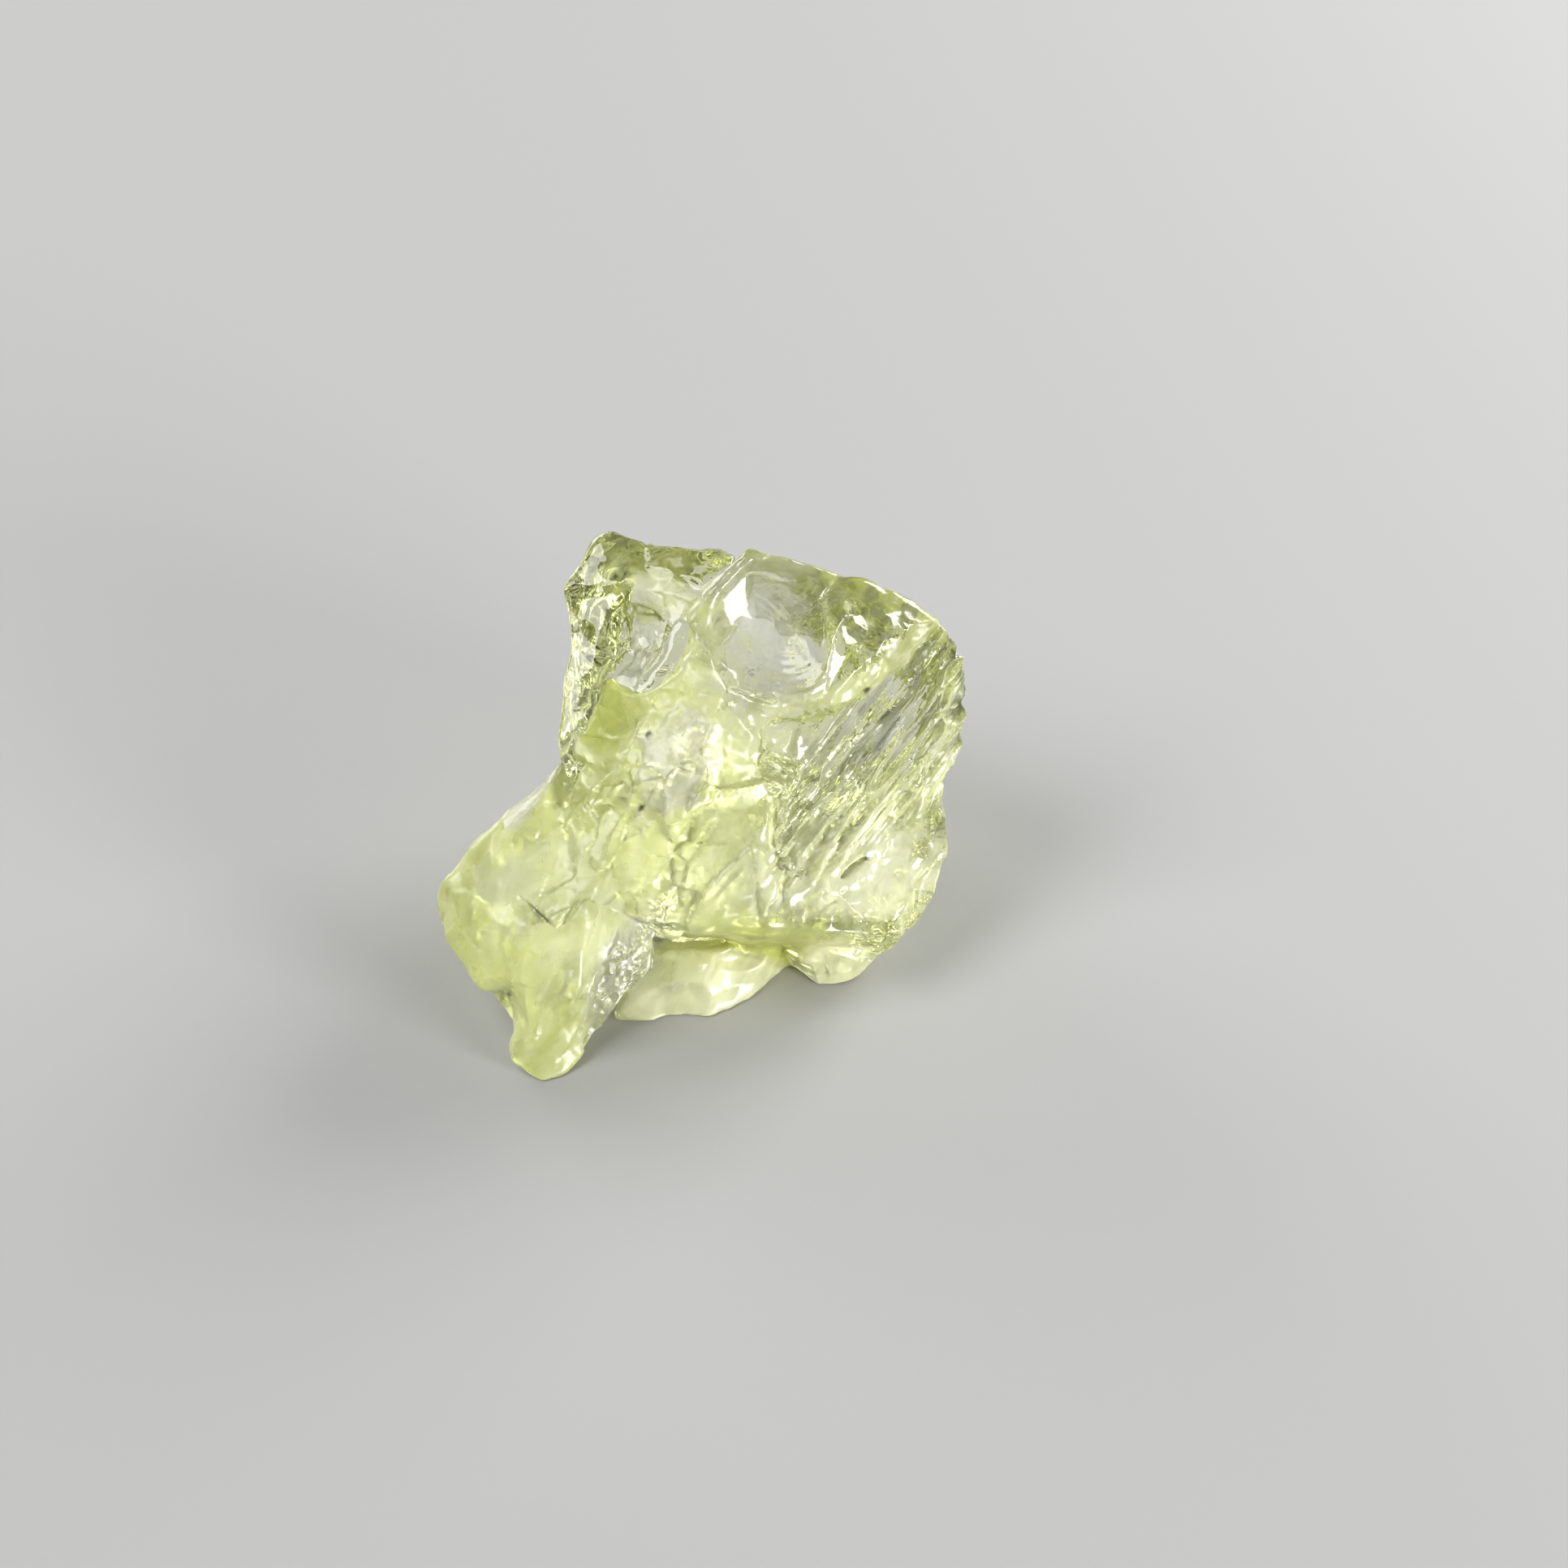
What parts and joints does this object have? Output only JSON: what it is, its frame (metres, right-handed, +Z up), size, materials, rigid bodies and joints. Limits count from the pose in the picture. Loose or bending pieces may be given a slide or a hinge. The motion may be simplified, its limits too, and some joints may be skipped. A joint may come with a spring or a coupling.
{
  "type": "rough prasiolite specimen",
  "caption": "Rough lump of clear to milky yellow-green quartz, broken on every side, with a ridged hollow face, a ledge and a forward-reaching foot; rests on its flat base.",
  "frame": {"origin": "below the middle of the stone's box, on the surface that it rests on", "axes": "+Z up, +X to the right seen from the front, -Y towards the front"},
  "size_m": [0.045, 0.0444, 0.0342],
  "materials": {
    "quartz": "clear to milky quartz with glassy broken faces"
  },
  "bodies": {
    "root": {"prasiolite": "quartz"}
  },
  "joints": []
}
